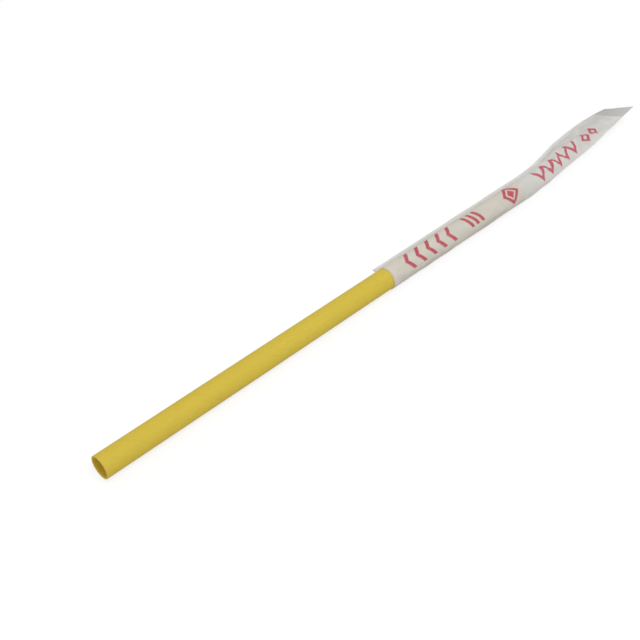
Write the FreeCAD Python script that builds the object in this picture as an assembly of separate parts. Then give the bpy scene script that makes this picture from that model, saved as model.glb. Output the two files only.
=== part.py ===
import FreeCAD, Part
import math
import os

# Paper drinking straw, drawn halfway out of its thin paper sleeve and lying on its side.
# Millimetres. The straw's axis is the X axis, with its bare open end at X = 0. +Z is up.

# Straw: a paper tube of one bore
straw_diameter = 8.0
straw_wall = 0.45
straw_length = 197.0

# Sleeve: one strip of paper folded round the straw, its two long edges pressed into a fin
bare_length = 122.0
sleeve_length = 159.0
paper = 0.1
fit_gap = 0.1
fin_reach = 4.9
fin_width = 1.7

# Past the straw's end the sleeve sinks from round to flat and twists, and its far end is crimped
collapse_start = straw_length + 3.0
collapse_length = 40.0
crimp_length = 8.0
crimp_lap = 1.0
crimp_height = 0.4
hollow_height = 1.2
puff_height = 7.6
flatten_power = 1.6
right_edge_start = 2.9
right_edge_end = -1.8
twist_start = 225.0
twist_end = math.radians(28)
dent_depth = 0.3
dent_onset = 20.0
dent_fade = 2.0
rib_pitch = 1.2
rib_depth = 0.16

# The dents are two waves that cross the sheet at a slant: turn along, turn across and height
dent_waves = ((0.33, 7.0, 1.0), (0.19, -11.0, 0.6))

# Lofting
sheet_points = 11
section_pitch = 4.0

straw_radius = straw_diameter / 2
middle_radius = straw_radius + fit_gap + paper / 2
leave_angle = math.acos(middle_radius / fin_reach)
leave_length = middle_radius * math.tan(leave_angle)
half_girth = leave_length + middle_radius * (math.pi - leave_angle)
floor_z = -(straw_radius + fit_gap + paper)
sleeve_end = bare_length + sleeve_length
crimp_start = sleeve_end - crimp_length


def smooth(value):
    """Eases from 0 to 1 as value does, level at both ends."""
    value = min(max(value, 0.0), 1.0)
    return value * value * (3 - 2 * value)


def flattened(x):
    """How far the sleeve has gone from round at the straw's end to flat at the crimp, slowly at first."""
    way = (x - collapse_start) / (crimp_start - collapse_start)
    return min(max(way, 0.0), 1.0) ** flatten_power


def puff(x):
    """Height of the empty sleeve at x."""
    return puff_height + (crimp_height - puff_height) * flattened(x)


def twist(x):
    """Angle by which the right-hand fold is lifted about the fin's edge."""
    return twist_end * (max(0.0, x - twist_start) / (sleeve_end - twist_start)) ** 2


def dents(x, side, part):
    """Shallow slanting hollows in the upper sheet of the empty sleeve."""
    if side < 0:
        return 0.0
    level = smooth((x - collapse_start) / dent_onset) * smooth((puff(x) - hollow_height) / dent_fade)
    wave = sum(height * math.sin(lengthwise * x + crosswise * part) for lengthwise, crosswise, height in dent_waves)
    return dent_depth * level * math.sin(math.pi * part) * wave


def snug_point(side, part):
    """A point of the upper (side 1) or lower (side -1) sheet, from the fin (part 0) to the fold (part 1).

    The sheet runs straight from the fin until it meets the straw, and then round it.
    """
    length = part * half_girth
    if length < leave_length:
        y, z = fin_reach - length * math.sin(leave_angle), length * math.cos(leave_angle)
    else:
        angle = leave_angle + (length - leave_length) / middle_radius
        y, z = middle_radius * math.cos(angle), middle_radius * math.sin(angle)
    return y, side * z


def half_width(x):
    """Straight distance from the fin to the fold of the empty sleeve."""
    return (half_girth + math.sqrt(half_girth ** 2 - 8 * puff(x) ** 2 / 3)) / 2


def twisted(x, across, height):
    """Place of a point of the empty sleeve given from its fold and from the surface before the twist."""
    from_edge = half_width(x) + fin_width - across
    lean, level = math.sin(twist(x)), math.cos(twist(x))
    fold = right_edge_start + (right_edge_end - right_edge_start) * flattened(x)
    left_edge = (half_width(x) + fin_width) * level - fold
    return left_edge - from_edge * level + height * lean, floor_z + from_edge * lean + height * level


def flat_point(x, side, part):
    """A point of the empty sleeve's upper or lower sheet, which are two shallow arches."""
    arch = side * 2 * puff(x) * part * (1 - part)
    height = (paper + puff(x)) / 2 + arch + dents(x, side, part)
    return twisted(x, half_width(x) * (1 - part), height)


def sheet(x, side):
    """Middle line of one sheet at x, from the fin to the fold."""
    blend = smooth((x - collapse_start) / collapse_length)
    points = []
    for index in range(sheet_points):
        part = index / (sheet_points - 1)
        snug = snug_point(side, part)
        flat = flat_point(x, side, part)
        points.append(tuple(a + blend * (b - a) for a, b in zip(snug, flat)))
    return points


def hollow_end():
    """Where the empty sleeve has sunk too flat for a hollow."""
    x = collapse_start
    while puff(x) > hollow_height:
        x += 0.5
    return x


def outward_normals(points, side):
    """Unit normals of a sheet's middle line that point out of the sleeve."""
    normals = []
    for index in range(len(points)):
        before = points[max(index - 1, 0)]
        after = points[min(index + 1, len(points) - 1)]
        dy, dz = after[0] - before[0], after[1] - before[1]
        length = math.hypot(dy, dz)
        normals.append((side * dz / length, -side * dy / length))
    return normals


def shifted(points, normals, distance):
    return [(y + distance * ny, z + distance * nz) for (y, z), (ny, nz) in zip(points, normals)]


def corner(point, first, second, distance):
    """Where two lines through point meet again once both have moved inwards by distance."""
    scale = distance / (1 + first[0] * second[0] + first[1] * second[1])
    return point[0] - scale * (first[0] + second[0]), point[1] - scale * (first[1] + second[1])


def spline_edge(x, points):
    curve = Part.BSplineCurve()
    curve.interpolate(
        Points=[FreeCAD.Vector(x, y, z) for y, z in points],
        Parameters=[index / (len(points) - 1) for index in range(len(points))],
    )
    return curve.toShape()


def straight_edge(x, start, end):
    return Part.makeLine(FreeCAD.Vector(x, *start), FreeCAD.Vector(x, *end))


def outer_section(x):
    """Outside of the sleeve at x, with the fin."""
    upper, lower = sheet(x, 1), sheet(x, -1)
    upper_out = shifted(upper, outward_normals(upper, 1), paper / 2)
    lower_out = shifted(lower, outward_normals(lower, -1), paper / 2)
    fold = tuple((a + b) / 2 for a, b in zip(upper[-1], lower[-1]))
    toward = (fold[0] - upper[-2][0] + fold[0] - lower[-2][0], fold[1] - upper[-2][1] + fold[1] - lower[-2][1])
    reach = math.hypot(*toward)
    tip = (fold[0] + paper / 2 * toward[0] / reach, fold[1] + paper / 2 * toward[1] / reach)
    lean, level = math.sin(twist(x)), math.cos(twist(x))

    def on_fin(away, height):
        root_y, root_z = upper[0]
        return root_y + away * level + height * lean, root_z - away * lean + height * level

    fin_top, fin_bottom = on_fin(paper / 2, paper), on_fin(paper / 2, -paper)
    edge_top, edge_bottom = on_fin(fin_width, paper), on_fin(fin_width, -paper)
    upper_out[0], upper_out[-1] = fin_top, tip
    lower_out[0], lower_out[-1] = fin_bottom, tip
    return Part.Wire([
        spline_edge(x, upper_out),
        spline_edge(x, lower_out[::-1]),
        straight_edge(x, fin_bottom, edge_bottom),
        straight_edge(x, edge_bottom, edge_top),
        straight_edge(x, edge_top, fin_top),
    ])


def inner_section(x):
    """Hollow of the sleeve at x."""
    upper, lower = sheet(x, 1), sheet(x, -1)
    upper_normals = outward_normals(upper, 1)
    lower_normals = outward_normals(lower, -1)
    upper_in = shifted(upper, upper_normals, -paper / 2)
    lower_in = shifted(lower, lower_normals, -paper / 2)
    for end in (0, -1):
        meeting = corner(upper[end], upper_normals[end], lower_normals[end], paper / 2)
        upper_in[end] = meeting
        lower_in[end] = meeting
    return Part.Wire([spline_edge(x, upper_in), spline_edge(x, lower_in[::-1])])


def stations(start, end):
    count = math.ceil((end - start) / section_pitch)
    return [start + (end - start) * index / count for index in range(count + 1)]


def along(vector_x):
    return FreeCAD.Vector(vector_x, 0, 0)


def solid_between(section, start, end):
    """A straight tube of one section as far as the collapse starts, then ruled strips down to end."""
    sections = [section(start)] + [section(x) for x in stations(collapse_start, end)]
    return Part.makeLoft(sections, True, True)


def crimp_section(x):
    """Both sheets pressed together, with ribs that run along the sleeve."""
    width = half_width(x) + fin_width
    count = 2 * round(width / rib_pitch)
    top, bottom = [], []
    for index in range(count + 1):
        across = width * (1 - index / count)
        height = paper + (rib_depth if index % 2 else 0.0)
        top.append(twisted(x, across, height + paper))
        bottom.append(twisted(x, across, height - paper))
    loop = top + bottom[::-1] + top[:1]
    return Part.makePolygon([FreeCAD.Vector(x, y, z) for y, z in loop])


def build_straw():
    outside = Part.makeCylinder(straw_radius, straw_length, FreeCAD.Vector(), along(1))
    bore = Part.makeCylinder(straw_radius - straw_wall, straw_length, FreeCAD.Vector(), along(1))
    return outside.cut(bore)


def build_wrapper():
    outside = solid_between(outer_section, bare_length, crimp_start)
    hollow = solid_between(inner_section, bare_length - 1, hollow_end())
    tube = outside.cut(hollow)
    ends = [crimp_section(x) for x in (crimp_start - crimp_lap, crimp_start + crimp_length / 2, sleeve_end)]
    crimp = Part.makeLoft(ends, True, True)
    return tube.fuse(crimp)


os.makedirs("parts", exist_ok=True)
for name, build in (("straw", build_straw), ("wrapper", build_wrapper)):
    shape = build()
    print(name, "solids", len(shape.Solids), "valid", shape.isValid(), "volume", round(shape.Volume, 1))
    shape.exportStep(f"parts/{name}.step")
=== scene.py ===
import bmesh
import bpy
import math
from mathutils import Matrix, Vector, noise


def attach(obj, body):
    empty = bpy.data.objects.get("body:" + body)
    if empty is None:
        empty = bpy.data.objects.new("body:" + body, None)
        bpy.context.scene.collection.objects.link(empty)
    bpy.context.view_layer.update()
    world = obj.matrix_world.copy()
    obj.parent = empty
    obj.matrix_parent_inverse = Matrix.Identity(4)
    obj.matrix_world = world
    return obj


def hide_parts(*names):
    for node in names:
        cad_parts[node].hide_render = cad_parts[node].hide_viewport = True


# Paper drinking straw, drawn halfway out of its thin paper sleeve and lying on its side.
# The straw's axis is the X axis, with its bare open end at X = 0. +Z is up.

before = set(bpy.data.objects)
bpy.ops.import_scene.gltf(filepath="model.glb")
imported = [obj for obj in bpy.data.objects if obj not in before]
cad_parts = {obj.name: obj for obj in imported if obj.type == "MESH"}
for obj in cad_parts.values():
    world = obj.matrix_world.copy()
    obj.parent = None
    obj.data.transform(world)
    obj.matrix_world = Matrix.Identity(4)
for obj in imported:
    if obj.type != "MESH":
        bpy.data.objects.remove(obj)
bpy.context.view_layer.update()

# Sizes in millimetres, as in the solids. Meshes are turned into metres when they are made.
MM = 0.001

# Straw: a paper tube of one bore
straw_radius = 4.0
straw_wall = 0.45
straw_length = 197.0
rim_round = 0.09

# Sleeve: one strip of paper folded round the straw, its two long edges pressed into a fin
bare_length = 122.0
sleeve_length = 159.0
paper = 0.1
fit_gap = 0.1
fin_reach = 4.9
fin_width = 1.7

# Past the straw's end the sleeve sinks from round to flat and twists, and its far end is crimped
collapse_start = straw_length + 3.0
collapse_length = 40.0
crimp_length = 8.0
press_length = 1.5
crimp_height = 0.4
hollow_height = 1.2
puff_height = 7.6
flatten_power = 1.6
right_edge_start = 2.9
right_edge_end = -1.8
twist_start = 225.0
twist_end = math.radians(28)
dent_depth = 0.3
dent_onset = 20.0
dent_fade = 2.0
dent_waves = ((0.33, 7.0, 1.0), (0.19, -11.0, 0.6))
rib_pitch = 1.2
rib_depth = 0.16

middle_radius = straw_radius + fit_gap + paper / 2
leave_angle = math.acos(middle_radius / fin_reach)
leave_length = middle_radius * math.tan(leave_angle)
half_girth = leave_length + middle_radius * (math.pi - leave_angle)
floor_z = -(straw_radius + fit_gap + paper)
sleeve_end = bare_length + sleeve_length
crimp_start = sleeve_end - crimp_length

# The hollow ends before the crimp. Where the sleeve is flat, the hollow is set off from the middle between
# both sheets, and at least this height of it is left.
hollow_stop = crimp_start - 2.0
flat_hollow_start = 236.0
flat_hollow_length = 12.0
least_hollow = 0.02

# Creases are noise over the flat sheet: height, size along, size across, slant and seed
snug_crease = (0.14, 21.0, 4.5, 0.2, 1.3)
snug_swell = (0.08, 14.0, 5.0, 0.0, 3.7)
loose_facets = ((1.5, 15.0, 6.5, -0.3, 8.1), (0.8, 7.0, 3.6, 0.45, 5.2))
loose_creases = ((0.45, 19.0, 7.5, -0.5, 6.4), (-0.4, 11.0, 5.0, 0.7, 2.9))
crease_sharpness = 3.2
facet_level = 0.3

# Loose creases grow past the straw's end and fade before the crimp. All creases fade towards a sheet's long
# edges, snug ones only in part, and the lower sheet's loose ones are weaker.
slack_length = 14.0
crease_fade = 6.0
edge_hold = 1.02
edge_power = 0.6
snug_at_edges = 0.4
lower_creases = 0.3

# Share of the empty sleeve's height that inward creases may take from above and from below, and the least room
upper_room = 0.55
lower_room = 0.2
least_room = 0.001

# Two soft folds run from the crimp's corners towards the middle of the sleeve. Across the sheet they are
# measured from 0 at the fin to 1 at the right-hand fold.
end_fold_length = 34.0
end_fold_depth = 0.8
end_fold_width = 0.12
end_fold_start = 0.06
end_fold_lean = 0.36
end_fold_power = 0.7

# Small wander of the right-hand fold, waves of the fin (height, length and seed) and ragged cuts at both ends
edge_wander = 0.3
edge_wander_length = 8.0
edge_wander_seed = 2.2
fin_waves = ((0.16, 9.0, 4.4), (0.08, 3.1, 9.4))
ragged_depth = 0.12
ragged_size = 2.0

# Mesh fineness
around_straw = 128
rim_steps = 4
sheet_steps = 64
fin_steps = 6
snug_pitch = 0.8
empty_pitch = 0.5

# The sleeve's flat map is in steps of 100 mm. Faces that carry no print lie this far past the printed sheet.
map_step = 100.0
unprinted_gap = 5.0

# Print on the flat paper, measured round from the fin to its middle line, and how soft the ink's edges are
print_middle = 8.6
ink_edge = 0.12

# Share of the light that passes through each face of the sleeve's sheet
light_through = 0.62

# Floor: its reach, its grey, and the share and strength of the glow with which the camera sees it
floor_reach = 6000.0
floor_grey = 0.78
floor_glow = 0.7
glow_strength = 1.1

# Light: strength of the surroundings, then each lamp's name, place, size and power, in metres and watts
surroundings_level = 0.65
lamp_target = (0.14, 0.0, 0.0)
lamps = (
    ("key", (0.1, -0.4, 0.95), 0.45, 5.0),
    ("fill", (-0.3, 0.55, 0.7), 0.9, 0.7),
)

# The photograph's view, with no roll. The focal length is in pixels of the photograph's width.
camera_place = (-0.0854, -0.17908, 0.22909)
camera_forward = (0.5165, 0.5289, -0.6734)
focal_pixels = 1010
frame_pixels = 640
sensor_width = 36.0
clip_start = 0.005


def smooth(value):
    """Eases from 0 to 1 as value does, level at both ends."""
    value = min(max(value, 0.0), 1.0)
    return value * value * (3 - 2 * value)


def mixed(first, second, share):
    """A point that is the given share of the way from first to second."""
    return tuple(a + share * (b - a) for a, b in zip(first, second))


def midpoint(first, second):
    return tuple((a + b) / 2 for a, b in zip(first, second))


def shift(point, normal, distance):
    """The point moved along its normal."""
    return point[0] + distance * normal[0], point[1] + distance * normal[1]


def flattened(x):
    """How far the sleeve has gone from round at the straw's end to flat at the crimp, slowly at first."""
    way = (x - collapse_start) / (crimp_start - collapse_start)
    return min(max(way, 0.0), 1.0) ** flatten_power


def puff(x):
    """Height of the empty sleeve at x."""
    return puff_height + (crimp_height - puff_height) * flattened(x)


def twist(x):
    """Angle by which the right-hand fold is lifted about the fin's edge."""
    return twist_end * (max(0.0, x - twist_start) / (sleeve_end - twist_start)) ** 2


def dents(x, side, part):
    """Shallow slanting hollows in the upper sheet of the empty sleeve."""
    if side < 0:
        return 0.0
    level = smooth((x - collapse_start) / dent_onset) * smooth((puff(x) - hollow_height) / dent_fade)
    wave = sum(height * math.sin(lengthwise * x + crosswise * part) for lengthwise, crosswise, height in dent_waves)
    return dent_depth * level * math.sin(math.pi * part) * wave


def snug_point(side, part):
    """A point of the upper (side 1) or lower (side -1) sheet, from the fin (part 0) to the fold (part 1).

    The sheet runs straight from the fin until it meets the straw, and then round it.
    """
    length = part * half_girth
    if length < leave_length:
        y, z = fin_reach - length * math.sin(leave_angle), length * math.cos(leave_angle)
    else:
        angle = leave_angle + (length - leave_length) / middle_radius
        y, z = middle_radius * math.cos(angle), middle_radius * math.sin(angle)
    return y, side * z


def half_width(x):
    """Straight distance from the fin to the fold of the empty sleeve."""
    return (half_girth + math.sqrt(half_girth ** 2 - 8 * puff(x) ** 2 / 3)) / 2


def twisted(x, across, height):
    """Place of a point of the empty sleeve given from its fold and from the surface before the twist."""
    from_edge = half_width(x) + fin_width - across
    lean, level = math.sin(twist(x)), math.cos(twist(x))
    fold = right_edge_start + (right_edge_end - right_edge_start) * flattened(x)
    left_edge = (half_width(x) + fin_width) * level - fold
    return left_edge - from_edge * level + height * lean, floor_z + from_edge * lean + height * level


def flat_point(x, side, part):
    """A point of the empty sleeve's upper or lower sheet, which are two shallow arches."""
    arch = side * 2 * puff(x) * part * (1 - part)
    height = (paper + puff(x)) / 2 + arch + dents(x, side, part)
    return twisted(x, half_width(x) * (1 - part), height)


def slack(x):
    """How far the paper has come away from the straw: 0 round it, 1 in the empty part."""
    return smooth((x - collapse_start) / slack_length)


def nearing_crimp(x, length):
    """0 until length before the crimp, and 1 from the crimp on."""
    return smooth((x - crimp_start + length) / length)


def sheet_noise(x, place, size_along, size_across, slant, seed):
    """Noise at x along the sleeve and place round it, in cells of the given size that lie at a slant."""
    return noise.noise(Vector((x / size_along, (place + slant * x) / size_across, seed)))


def creases(x, place, height, *layer):
    """Crumple lines: full height on a ridge, falling off sharply to both sides."""
    return height * max(0.0, 1 - abs(sheet_noise(x, place, *layer)) * crease_sharpness) ** 2


def facets(x, place, height, *layer):
    """Nearly plane pieces of paper that meet in sharp ridges."""
    return height * (facet_level - abs(sheet_noise(x, place, *layer)))


def swell(x, place, height, *layer):
    """Soft rise and fall of the paper."""
    return height * (0.5 + 0.5 * sheet_noise(x, place, *layer))


def end_folds(x, part):
    """1 in the bottom of the two folds that run from the crimp's corners, 0 away from them."""
    way = (crimp_start - x) / end_fold_length
    if not 0 < way < 1:
        return 0.0
    bottom = end_fold_start + end_fold_lean * way
    off_fold = min(abs(part - bottom), abs(1 - part - bottom))
    return max(0.0, 1 - off_fold / end_fold_width) * math.sin(math.pi * way) ** end_fold_power


def crumple(x, side, part):
    """How far the paper stands out from its smooth shape."""
    place = side * part * half_girth
    free = math.sin(math.pi * min(1.0, part * edge_hold)) ** edge_power
    snug = creases(x, place, *snug_crease) + swell(x, place, *snug_swell)
    snug *= snug_at_edges + (1 - snug_at_edges) * free
    loose = sum(facets(x, place, *layer) for layer in loose_facets)
    loose += sum(creases(x, place, *layer) for layer in loose_creases)
    loose -= end_fold_depth * end_folds(x, part)
    if side < 0:
        loose *= lower_creases
    loose *= free * (1 - nearing_crimp(x, crease_fade))
    if loose < 0:
        share = upper_room if side > 0 else lower_room
        room = 4 * puff(x) * part * (1 - part) * share + least_room
        loose = -room * (1 - math.exp(loose / room))
    return snug * (1 - slack(x)) + loose * slack(x)


def sheet(x, side):
    """Middle line of one sheet at x, from the fin to the fold, with the unit normals that point outwards."""
    blend = smooth((x - collapse_start) / collapse_length)
    wander = edge_wander * slack(x) * noise.noise(Vector((x / edge_wander_length, edge_wander_seed, 0.0)))
    parts = [index / sheet_steps for index in range(sheet_steps + 1)]
    points = [mixed(snug_point(side, part), flat_point(x, side, part), blend) for part in parts]
    normals = []
    for index in range(len(points)):
        before = points[max(index - 1, 0)]
        after = points[min(index + 1, len(points) - 1)]
        dy, dz = after[0] - before[0], after[1] - before[1]
        length = math.hypot(dy, dz)
        normals.append((side * dz / length, -side * dy / length))
    for index, part in enumerate(parts):
        y, z = shift(points[index], normals[index], crumple(x, side, part))
        points[index] = (y - part * wander, max(z, floor_z + paper / 2))
    return points, normals


def rib(across):
    """Height of the crimp's ribs at a distance from the right-hand fold."""
    return rib_depth * (0.5 + 0.5 * math.cos(2 * math.pi * across / rib_pitch))


def sleeve_section(x):
    """The sleeve at x: its upper and lower outside from fin to fold, its fin below and above, and its hollow."""
    upper, upper_normals = sheet(x, 1)
    lower, lower_normals = sheet(x, -1)
    pressed = nearing_crimp(x, press_length)
    flat = smooth((x - flat_hollow_start) / flat_hollow_length)
    lean, level = math.sin(twist(x)), math.cos(twist(x))
    root = midpoint(upper[0], lower[0])
    wave = sum(height * noise.noise(Vector((x / length, seed, 0.0))) for height, length, seed in fin_waves)

    def on_fin(away, height):
        height += (1 - pressed) * away / fin_width * wave + pressed * rib(half_width(x) + away)
        return root[0] + away * level + height * lean, root[1] - away * lean + height * level

    def outside(index, points, normals, side):
        if index == 0:
            place = on_fin(paper / 2, side * paper)
        else:
            place = shift(points[index], normals[index], paper / 2)
        across = half_width(x) * (1 - index / sheet_steps)
        return mixed(place, twisted(x, across, paper + rib(across) + side * paper), pressed)

    def inside(near, far, normal):
        """A point of a sheet's inner face. Where the sleeve is flat it is set off from the middle."""
        gap = math.dist(near, far)
        kept = max(gap - paper, least_hollow) / gap
        return mixed(shift(near, normal, -paper / 2), mixed(midpoint(near, far), near, kept), flat)

    steps = range(sheet_steps + 1)
    top = [outside(index, upper, upper_normals, 1) for index in steps]
    bottom = [outside(index, lower, lower_normals, -1) for index in steps]
    aways = [fin_width * step / fin_steps for step in range(1, fin_steps + 1)]
    fin_low = [on_fin(away, -paper) for away in aways]
    fin_high = [on_fin(away, paper) for away in aways]
    inner = range(1, sheet_steps)
    hollow = [inside(upper[index], lower[index], upper_normals[index]) for index in inner]
    hollow += [inside(lower[index], upper[index], lower_normals[index]) for index in reversed(inner)]
    return top, bottom, fin_low, fin_high, hollow


def mesh_object(name, vertices, faces, materials, uvs=None, slots=None):
    """A smooth-shaded object of the given mesh, with a place on the flat map for each vertex if uvs are given."""
    mesh = bpy.data.meshes.new(name)
    mesh.from_pydata([Vector(v) * MM for v in vertices], [], faces)
    if uvs is not None:
        layer = mesh.uv_layers.new(name="flat")
        for loop in mesh.loops:
            layer.data[loop.index].uv = uvs[loop.vertex_index]
    for material in materials:
        mesh.materials.append(material)
    for polygon in mesh.polygons:
        polygon.use_smooth = True
        if slots is not None:
            polygon.material_index = slots[polygon.index]
    shape = bmesh.new()
    shape.from_mesh(mesh)
    bmesh.ops.recalc_face_normals(shape, faces=shape.faces)
    shape.to_mesh(mesh)
    shape.free()
    made = bpy.data.objects.new(name, mesh)
    bpy.context.collection.objects.link(made)
    return made


def spread(start, end, pitch):
    """Even stations from start to end, about pitch apart."""
    count = math.ceil((end - start) / pitch)
    return [start + (end - start) * index / count for index in range(count + 1)]


def make_sleeve(material):
    """The sleeve as one closed sheet: outside, hollow, the mouth's cut edge and the far end."""
    stops = spread(bare_length, collapse_start, snug_pitch)[:-1] + spread(collapse_start, sleeve_end, empty_pitch)
    vertices, uvs, faces = [], [], []
    outer_rows, hollow_rows = [], []

    def add_row(x, points, arounds):
        cut = ragged_depth if x in (stops[0], stops[-1]) else 0.0
        row = []
        for (y, z), around in zip(points, arounds):
            ragged = cut * (noise.noise(Vector((y / ragged_size, z / ragged_size, x))) - (x == stops[-1]))
            row.append(len(vertices))
            vertices.append((x + ragged, y, max(z, floor_z)))
            uvs.append(((x - bare_length) / map_step, around / map_step))
        return row

    unprinted = -half_girth - unprinted_gap
    arounds = [index / sheet_steps * half_girth for index in range(sheet_steps + 1)]
    arounds += [-around for around in reversed(arounds)]
    arounds += [unprinted] * (2 * fin_steps)
    for x in stops:
        top, bottom, fin_low, fin_high, hollow = sleeve_section(x)
        outer_rows.append(add_row(x, top + bottom[::-1] + fin_low + fin_high[::-1], arounds))
        if x < hollow_stop:
            hollow_rows.append(add_row(x, hollow, [unprinted] * len(hollow)))

    for rows in (outer_rows, hollow_rows):
        for near, far in zip(rows, rows[1:]):
            for index in range(len(near)):
                after = (index + 1) % len(near)
                faces.append((near[index], near[after], far[after], far[index]))

    def strip(first, second):
        for index in range(len(first) - 1):
            faces.append((first[index], second[index], second[index + 1], first[index + 1]))

    def chains(row):
        """Upper and lower outside from fin to fold, and both sides of the fin from root to edge."""
        around = 2 * (sheet_steps + 1)
        top, bottom = row[:sheet_steps + 1], row[sheet_steps + 1:around][::-1]
        fin_low, fin_high = row[around:around + fin_steps], row[around + fin_steps:][::-1]
        return top, bottom, [bottom[0]] + fin_low, [top[0]] + fin_high

    def halves(row):
        """The hollow's upper and lower side from fin to fold."""
        return row[:sheet_steps - 1], row[sheet_steps - 1:][::-1]

    top, bottom, fin_low, fin_high = chains(outer_rows[0])
    upper_rim, lower_rim = halves(hollow_rows[0])
    strip(top[1:-1], upper_rim)
    strip(bottom[1:-1], lower_rim)
    faces.append((top[-2], upper_rim[-1], lower_rim[-1], bottom[-2], bottom[-1], top[-1]))
    faces.append((bottom[1], lower_rim[0], upper_rim[0], top[1], top[0], bottom[0]))
    strip(fin_low, fin_high)
    top, bottom, fin_low, fin_high = chains(outer_rows[-1])
    strip(top, bottom)
    strip(fin_low, fin_high)
    strip(*halves(hollow_rows[-1]))
    return mesh_object("sleeve", vertices, faces, [material], uvs=uvs)


def make_straw(material, cut_material):
    """The straw as one closed tube with rounded rims."""
    inner = straw_radius - straw_wall
    corners = (
        (rim_round, straw_radius - rim_round, 180, 90),
        (straw_length - rim_round, straw_radius - rim_round, 90, 0),
        (straw_length - rim_round, inner + rim_round, 0, -90),
        (rim_round, inner + rim_round, -90, -180),
    )
    per_corner = rim_steps + 1
    cut_rows = (2 * per_corner - 1, 4 * per_corner - 1)
    profile = []
    for x, radius, start, end in corners:
        for step in range(per_corner):
            angle = math.radians(start + (end - start) * step / rim_steps)
            profile.append((x + rim_round * math.cos(angle), radius + rim_round * math.sin(angle)))
    vertices, faces, slots = [], [], []
    for x, radius in profile:
        for index in range(around_straw):
            angle = 2 * math.pi * index / around_straw
            vertices.append((x, radius * math.cos(angle), radius * math.sin(angle)))
    for row in range(len(profile)):
        near, far = row * around_straw, (row + 1) % len(profile) * around_straw
        for index in range(around_straw):
            after = (index + 1) % around_straw
            faces.append((near + index, near + after, far + after, far + index))
            slots.append(1 if row in cut_rows else 0)
    return mesh_object("straw_tube", vertices, faces, [material, cut_material], slots=slots)


class Nodes:
    """Adds nodes to a new material and joins them."""

    def __init__(self, name):
        self.material = bpy.data.materials.new(name)
        self.material.use_nodes = True
        self.tree = self.material.node_tree
        self.shader = self.tree.nodes["Principled BSDF"]

    def feed(self, node, key, value):
        """Sets an input, given by name or number, or joins another node's output to it."""
        if isinstance(value, bpy.types.NodeSocket):
            self.tree.links.new(value, node.inputs[key])
        else:
            node.inputs[key].default_value = value

    def add(self, kind, *numbered, **named):
        """A new node with its inputs fed in order, or by name."""
        node = self.tree.nodes.new(kind)
        for key, value in list(enumerate(numbered)) + list(named.items()):
            self.feed(node, key, value)
        return node

    def math(self, operation, *values):
        node = self.add("ShaderNodeMath", *values)
        node.operation = operation
        return node.outputs[0]

    def mix(self, factor, first, second):
        """The colour that is factor of the way from first to second."""
        node = self.add("ShaderNodeMix")
        node.data_type = "RGBA"
        for key, value in ((0, factor), (6, first), (7, second)):
            self.feed(node, key, value)
        return node.outputs[2]

    def ramp(self, value, low, high, start=0.0, end=1.0):
        """Goes from start to end while value goes from low to high."""
        node = self.add("ShaderNodeMapRange", value, low, high, start, end)
        node.clamp = True
        return node.outputs[0]

    def place(self):
        """Place in the object's own frame, in metres."""
        return self.add("ShaderNodeTexCoord").outputs["Object"]

    def split(self, vector):
        """The three parts of a vector."""
        return self.add("ShaderNodeSeparateXYZ", vector).outputs

    def noise(self, fineness, detail, roughness=0.5):
        """Noise with about that many specks to the metre along X, Y and Z."""
        mapping = self.add("ShaderNodeMapping", Vector=self.place(), Scale=fineness)
        inputs = {"Vector": mapping.outputs[0], "Scale": 1.0, "Detail": detail, "Roughness": roughness}
        return self.add("ShaderNodeTexNoise", **inputs).outputs[0]

    def bump(self, height, strength, distance):
        node = self.add("ShaderNodeBump", Height=height, Strength=strength, Distance=distance)
        self.feed(self.shader, "Normal", node.outputs[0])
        return node.outputs[0]

    def blend(self, factor, first, second):
        """Makes the surface a mix of two shaders."""
        node = self.add("ShaderNodeMixShader", factor, first, second)
        self.feed(self.tree.nodes["Material Output"], "Surface", node.outputs[0])


def srgb(red, green, blue):
    """The colour whose display levels from 0 to 255 are given."""
    def linear(value):
        value /= 255
        return value / 12.92 if value <= 0.04045 else ((value + 0.055) / 1.055) ** 2.4
    return linear(red), linear(green), linear(blue), 1.0


# Straw's yellow face, its spiral seam, its inner ply, and the paler paper and glue lines of its cut ends
straw_dark, straw_light = srgb(196, 172, 54), srgb(202, 180, 62)
straw_blotch = srgb(194, 166, 54)
seam_colour = srgb(167, 141, 49)
inner_ply = srgb(218, 187, 56)
cut_dark, cut_light = srgb(198, 174, 96), srgb(226, 205, 128)
glue_line = srgb(158, 132, 60)

# Sleeve's paper, its ink, and the grey of its crimp: the glued paper a little greyer, with painted shade along the
# grooves
paper_dark, paper_light = srgb(238, 237, 235), srgb(244, 243, 241)
paper_cloud = srgb(234, 233, 231)
ink_dark, ink_light = srgb(212, 92, 114), srgb(226, 120, 138)
seal_and_shade_colour = srgb(150, 148, 144)

# Straw in metres: radius of its bore, thickness of a ply, and how far the spiral goes forward in one turn
bore = (straw_radius - straw_wall) * MM
ply = 0.00015
seam_pitch = 0.026


def off_axis(m, y, z):
    """Distance from the straw's axis, in metres."""
    return m.math("SQRT", m.math("ADD", m.math("MULTIPLY", y, y), m.math("MULTIPLY", z, z)))


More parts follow.
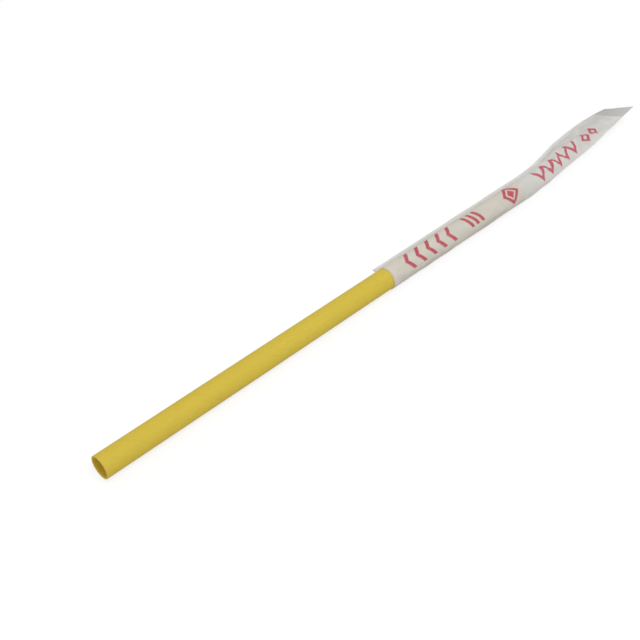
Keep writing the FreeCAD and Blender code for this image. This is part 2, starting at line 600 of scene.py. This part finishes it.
def straw_material():
    """Matte yellow paper with fibres, wound so that its edges meet in a faint spiral, and deeper in colour inside."""
    m = Nodes("straw_paper")
    fibres = m.noise((500, 1500, 1500), 4.0, 0.6)
    blotches = m.noise((60, 160, 160), 2.0)
    x, y, z = m.split(m.place())
    turns = m.math("DIVIDE", m.math("ARCTAN2", z, y), 2 * math.pi)
    wound = m.math("SUBTRACT", m.math("DIVIDE", x, seam_pitch), turns)
    phase = m.math("FRACT", m.math("ADD", wound, 0.35))
    seam = m.ramp(m.math("ABSOLUTE", m.math("SUBTRACT", phase, 0.5)), 0.006, 0.014, 1.0, 0.0)
    inside = m.ramp(off_axis(m, y, z), bore + 0.00005, bore + 0.00025, 1.0, 0.0)
    colour = m.mix(m.ramp(fibres, 0.35, 0.65), straw_dark, straw_light)
    colour = m.mix(m.ramp(blotches, 0.3, 0.7, 0.0, 0.3), colour, straw_blotch)
    colour = m.mix(m.math("MULTIPLY", seam, 0.16), colour, seam_colour)
    colour = m.mix(inside, colour, inner_ply)
    m.feed(m.shader, "Base Color", colour)
    m.feed(m.shader, "Roughness", m.ramp(fibres, 0.3, 0.7, 0.62, 0.8))
    m.feed(m.shader, "Specular IOR Level", 0.35)
    m.bump(m.math("SUBTRACT", m.math("MULTIPLY", fibres, 0.6), seam), strength=0.25, distance=0.00003)
    return m.material


def cut_paper_material():
    """The straw's cut ends: three plies of paper, paler than the dyed face."""
    m = Nodes("straw_cut")
    y, z = m.split(m.place())[1:]
    depth = m.math("SUBTRACT", off_axis(m, y, z), bore)
    phase = m.math("FRACT", m.math("DIVIDE", depth, ply))
    gap = m.ramp(m.math("ABSOLUTE", m.math("SUBTRACT", phase, 0.5)), 0.3, 0.5)
    fibres = m.noise((2500, 2500, 2500), 3.0)
    colour = m.mix(fibres, cut_dark, cut_light)
    colour = m.mix(m.math("MULTIPLY", gap, 0.6), colour, glue_line)
    m.feed(m.shader, "Base Color", colour)
    m.feed(m.shader, "Roughness", m.ramp(fibres, 0.3, 0.7, 0.8, 0.95))
    m.feed(m.shader, "Specular IOR Level", 0.2)
    m.bump(m.math("SUBTRACT", fibres, gap), strength=0.5, distance=0.00005)
    return m.material


def print_mask(m, along, around):
    """Pink print on the flat paper, in millimetres: chevrons, slanted strokes, diamonds and a zigzag."""
    across = m.math("SUBTRACT", around, print_middle)
    slanted = m.math("SUBTRACT", along, m.math("MULTIPLY", across, 0.45))
    pointed = m.math("SUBTRACT", along, m.math("MULTIPLY", m.math("ABSOLUTE", across), 0.7))

    def below(value, limit):
        """1 where value is below limit, with a soft edge."""
        return m.ramp(value, limit - ink_edge, limit + ink_edge, 1.0, 0.0)

    def near(value, centre, half):
        return below(m.math("ABSOLUTE", m.math("SUBTRACT", value, centre)), half)

    def between(value, start, end):
        return near(value, (start + end) / 2, (end - start) / 2)

    def both(first, second):
        return m.math("MULTIPLY", first, second)

    def repeated(value, start, pitch):
        """How far value has come into its own one of the equal steps from start on.

        The steps are counted from 60 before start, so that no remainder is taken of a value below 0.
        """
        return m.math("MODULO", m.math("SUBTRACT", value, start - 60 * pitch), pitch)

    def bars(way, start, end, pitch, width, half):
        """A row of bars side by side, each of them reaching half to both sides of the middle line."""
        bar = near(repeated(way, start, pitch), pitch / 2, width / 2)
        return both(both(bar, between(way, start, end)), near(across, 0, half))

    def zigzag(start, end, pitch, swing, width):
        quarter = pitch / 4
        wave = m.math("SUBTRACT", m.math("PINGPONG", along, 2 * quarter), quarter)
        wave = m.math("MULTIPLY", wave, swing / quarter)
        return both(near(m.math("SUBTRACT", across, wave), 0, width / 2), between(along, start, end))

    def diamonds(start, count, pitch, size, hole=0.0):
        phase = m.math("SUBTRACT", repeated(along, start, pitch), pitch / 2)
        reach = m.math("ADD", m.math("ABSOLUTE", phase), m.math("ABSOLUTE", across))
        shape = below(reach, size)
        if hole:
            shape = m.math("SUBTRACT", shape, below(reach, hole))
        return both(shape, between(along, start, start + count * pitch))

    motifs = (
        bars(pointed, start=6, end=34, pitch=5.6, width=1.7, half=3.4),
        bars(slanted, start=41, end=50, pitch=3.0, width=1.5, half=2.8),
        diamonds(start=63, count=1, pitch=10, size=4.6, hole=2.9),
        diamonds(start=63, count=1, pitch=10, size=1.9),
        zigzag(start=84, end=119, pitch=7.0, swing=2.4, width=2.3),
        diamonds(start=124, count=2, pitch=6.6, size=2.9, hole=1.1),
    )
    mask = motifs[0]
    for motif in motifs[1:]:
        mask = m.math("MAXIMUM", mask, motif)
    return mask


def sleeve_material():
    """Thin white paper that light passes through, printed in pink on its outside."""
    m = Nodes("sleeve_paper")
    flat = m.add("ShaderNodeUVMap")
    flat.uv_map = "flat"
    along, around = [m.math("MULTIPLY", socket, map_step) for socket in m.split(flat.outputs[0])[:2]]
    fibres = m.noise((700, 1400, 1400), 4.0, 0.6)
    clouds = m.noise((250, 350, 350), 3.0)
    worn = m.ramp(m.noise((1800, 1800, 1800), 2.0), 0.25, 0.5, 0.72, 0.95)
    # The crimp's band is greyed a little for its glued paper, and more along its grooves as painted shade
    seal = sleeve_length - crimp_length
    band = m.ramp(along, seal - 0.4, seal + 0.4)
    from_rib = m.math("PINGPONG", m.math("ABSOLUTE", around), rib_pitch / 2)
    seal_and_groove_shade = m.ramp(from_rib, 0.0, rib_pitch / 2, 0.38, 0.12)
    colour = m.mix(m.ramp(fibres, 0.3, 0.7), paper_dark, paper_light)
    colour = m.mix(m.ramp(clouds, 0.35, 0.65, 0.0, 0.5), colour, paper_cloud)
    ink = m.mix(clouds, ink_dark, ink_light)
    colour = m.mix(m.math("MULTIPLY", print_mask(m, along, around), worn), colour, ink)
    # Mixes in the crimp's grey: painted shade along its grooves, over a slight grey of the glued paper
    colour = m.mix(m.math("MULTIPLY", band, seal_and_groove_shade), colour, seal_and_shade_colour)
    m.feed(m.shader, "Base Color", colour)
    m.feed(m.shader, "Roughness", m.ramp(clouds, 0.3, 0.7, 0.5, 0.66))
    m.feed(m.shader, "Specular IOR Level", 0.3)
    height = m.math("ADD", m.math("MULTIPLY", fibres, 0.5), clouds)
    normal = m.bump(height, strength=0.35, distance=0.00006)
    through = m.add("ShaderNodeBsdfTranslucent", Color=colour, Normal=normal)
    m.blend(light_through, m.shader.outputs[0], through.outputs[0])
    return m.material


def floor():
    """A wide pale surface under the object. The camera sees it partly in its own light, so shadows on it are faint."""
    corners = [(x * floor_reach, y * floor_reach, floor_z) for x, y in ((-1, -1), (1, -1), (1, 1), (-1, 1))]
    m = Nodes("floor")
    m.feed(m.shader, "Base Color", (floor_grey, floor_grey, floor_grey, 1))
    m.feed(m.shader, "Roughness", 0.9)
    m.feed(m.shader, "Specular IOR Level", 0.0)
    glow = m.add("ShaderNodeEmission", Strength=glow_strength)
    seen = m.math("MULTIPLY", m.add("ShaderNodeLightPath").outputs["Is Camera Ray"], floor_glow)
    m.blend(seen, m.shader.outputs[0], glow.outputs[0])
    mesh_object("floor", corners, [(0, 1, 2, 3)], [m.material])


def lamp(name, place, size, power):
    """A square lamp that shines on the middle of the object."""
    data = bpy.data.lights.new(name, "AREA")
    data.size = size
    data.energy = power
    made = bpy.data.objects.new(name, data)
    bpy.context.collection.objects.link(made)
    made.location = place
    made.rotation_euler = (Vector(lamp_target) - Vector(place)).to_track_quat("-Z", "Y").to_euler()


def surroundings():
    """Even white light all round, with plain white wherever the camera or a reflection sees it."""
    world = bpy.data.worlds.new("surroundings")
    bpy.context.scene.world = world
    world.use_nodes = True
    nodes, links = world.node_tree.nodes, world.node_tree.links
    light, seen = nodes["Background"], nodes.new("ShaderNodeBackground")
    for background, level in ((light, surroundings_level), (seen, 1.0)):
        background.inputs["Color"].default_value = (1, 1, 1, 1)
        background.inputs["Strength"].default_value = level
    path = nodes.new("ShaderNodeLightPath")
    total = path.outputs["Is Camera Ray"]
    for name in ("Is Glossy Ray", "Is Transmission Ray"):
        add = nodes.new("ShaderNodeMath")
        add.operation = "ADD"
        add.use_clamp = True
        links.new(total, add.inputs[0])
        links.new(path.outputs[name], add.inputs[1])
        total = add.outputs[0]
    mix = nodes.new("ShaderNodeMixShader")
    links.new(total, mix.inputs[0])
    links.new(light.outputs[0], mix.inputs[1])
    links.new(seen.outputs[0], mix.inputs[2])
    links.new(mix.outputs[0], nodes["World Output"].inputs["Surface"])


def camera():
    """The photograph's view."""
    forward = Vector(camera_forward).normalized()
    right = forward.cross(Vector((0, 0, 1))).normalized()
    up = right.cross(forward)
    data = bpy.data.cameras.new("camera")
    data.sensor_width = sensor_width
    data.lens = focal_pixels / frame_pixels * sensor_width
    data.clip_start = clip_start
    made = bpy.data.objects.new("camera", data)
    bpy.context.collection.objects.link(made)
    turn = Matrix((right, up, -forward)).transposed()
    made.matrix_world = Matrix.Translation(Vector(camera_place)) @ turn.to_4x4()
    bpy.context.scene.camera = made


straw = make_straw(straw_material(), cut_paper_material())
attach(straw, "straw")
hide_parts("straw")

sleeve = make_sleeve(sleeve_material())
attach(sleeve, "wrapper")
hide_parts("wrapper")

floor()
surroundings()
for lamp_values in lamps:
    lamp(*lamp_values)
camera()
bpy.context.scene.view_settings.view_transform = "Standard"
